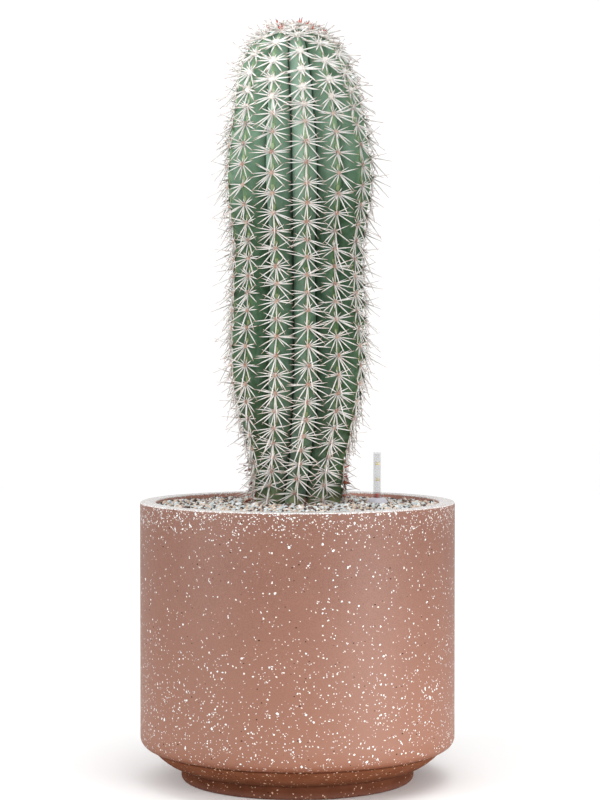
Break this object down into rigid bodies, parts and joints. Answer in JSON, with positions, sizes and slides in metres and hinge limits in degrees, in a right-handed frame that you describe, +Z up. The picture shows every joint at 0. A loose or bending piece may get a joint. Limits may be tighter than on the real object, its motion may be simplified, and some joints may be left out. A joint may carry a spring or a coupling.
{
  "type": "potted cardon cactus",
  "caption": "Ribbed, spiny cactus column standing in a round terrazzo planter filled with pale mineral gravel, with a clear water gauge whose float rises with the water.",
  "frame": {"origin": "on the floor, at the centre of the planter's flat base", "axes": "+Z up along the planter and the column, -Y towards the viewer of the picture, +X to that viewer's right, where the water gauge is"},
  "size_m": [0.35, 0.35, 0.8419],
  "materials": {
    "terrazzo": "matte",
    "gravel": "matte",
    "cactus_skin": "satin",
    "grey_plastic": "satin",
    "clear_plastic": "gloss",
    "white_plastic": "satin",
    "red_plastic": "gloss"
  },
  "bodies": {
    "potted_plant": {"planter": "terrazzo", "substrate": "gravel", "cardon_stem": "cactus_skin", "gauge_casing": "grey_plastic", "gauge_display": "clear_plastic"},
    "float": {"gauge_float": "white_plastic", "gauge_tip": "red_plastic"}
  },
  "joints": [
    {"name": "float_rise", "type": "slide", "parent": "potted_plant", "child": "float", "axis": [0, 0, 1], "range_m": [0, 0.0445]}
  ]
}
